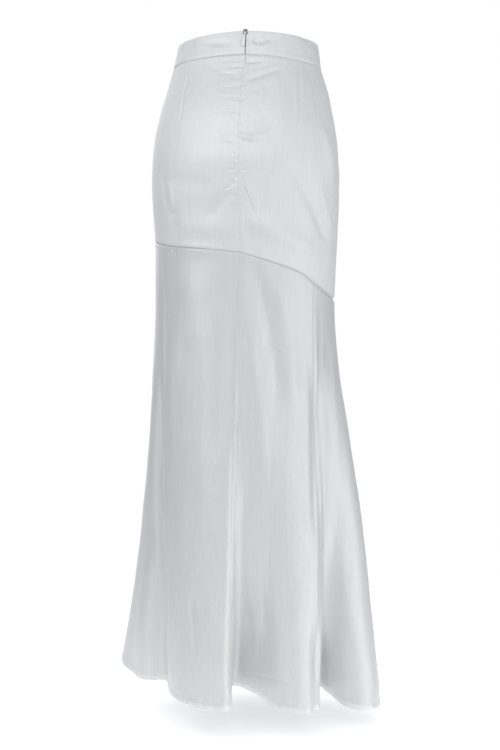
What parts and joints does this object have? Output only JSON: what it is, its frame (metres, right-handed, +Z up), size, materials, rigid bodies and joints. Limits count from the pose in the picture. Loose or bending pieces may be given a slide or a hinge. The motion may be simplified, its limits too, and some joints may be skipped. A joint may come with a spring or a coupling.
{
  "type": "mermaid fishtail skirt",
  "caption": "Full-length fitted satin skirt with a shaped waistband, a slanting hip yoke seam, a flared fishtail lower part and a concealed back zip, in its worn hollow form.",
  "frame": {"origin": "middle of the waistband, where the wearer's waist holds the skirt", "axes": "+Z up; -Y is the back with the zip, +Y the front; +X is the wearer's right"},
  "size_m": [0.4321, 0.3434, 1.0893],
  "materials": {
    "band_satin": "pale silver-white satin, interfaced, soft sheen",
    "yoke_satin": "pale silver-white satin, soft sheen, warp running down",
    "flare_satin": "pale silver-white satin, soft sheen, warp running down",
    "tape_cloth": "matte knitted zip tape",
    "slider_metal": "dark grey lacquered die-cast metal",
    "pull_metal": "pale lacquered die-cast metal, glossy"
  },
  "bodies": {
    "skirt": {"waistband_front": "band_satin", "waistband_back_left": "band_satin", "waistband_back_right": "band_satin", "yoke_front": "yoke_satin", "yoke_back_left": "yoke_satin", "yoke_back_right": "yoke_satin", "lower_front": "flare_satin", "lower_back_left": "flare_satin", "lower_back_right": "flare_satin", "zip_tape": "tape_cloth", "zip_slider": "slider_metal"},
    "pull": {"zip_pull": "pull_metal"}
  },
  "joints": [
    {"name": "pull_swing", "type": "hinge", "parent": "skirt", "child": "pull", "pos_m": [-0.00407, -0.08654, 0.0194], "axis": [-0.9834, 0.0629, 0.17], "range_deg": [0, 160]}
  ]
}
